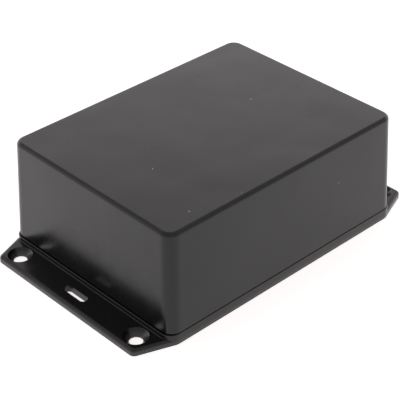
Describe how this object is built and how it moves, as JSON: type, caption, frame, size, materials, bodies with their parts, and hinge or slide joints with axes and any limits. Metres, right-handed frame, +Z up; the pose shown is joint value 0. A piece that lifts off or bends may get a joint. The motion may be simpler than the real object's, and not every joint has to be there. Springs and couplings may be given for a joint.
{
  "type": "plastic project box",
  "caption": "Black plastic project box with a drafted cover that lifts off a flat base, and a slotted, drilled mounting flange at each end.",
  "frame": {"origin": "centre of the base's flat underside", "axes": "+X from flange to flange along the length, +Y across the width, +Z up through the cover"},
  "size_m": [0.1336, 0.083, 0.0429],
  "materials": {
    "black_plastic": "satin black, with the fine even texture of a spark-eroded mould",
    "plated_steel": "bright plated",
    "brass": "turned, plain"
  },
  "bodies": {
    "base": {"base": "black_plastic", "cover_screws": "plated_steel"},
    "cover": {"cover": "black_plastic", "threaded_bushings": "brass"}
  },
  "joints": [
    {"name": "cover_lift", "type": "slide", "parent": "base", "child": "cover", "axis": [0, 0, 1], "range_m": [0, 0.06]}
  ]
}
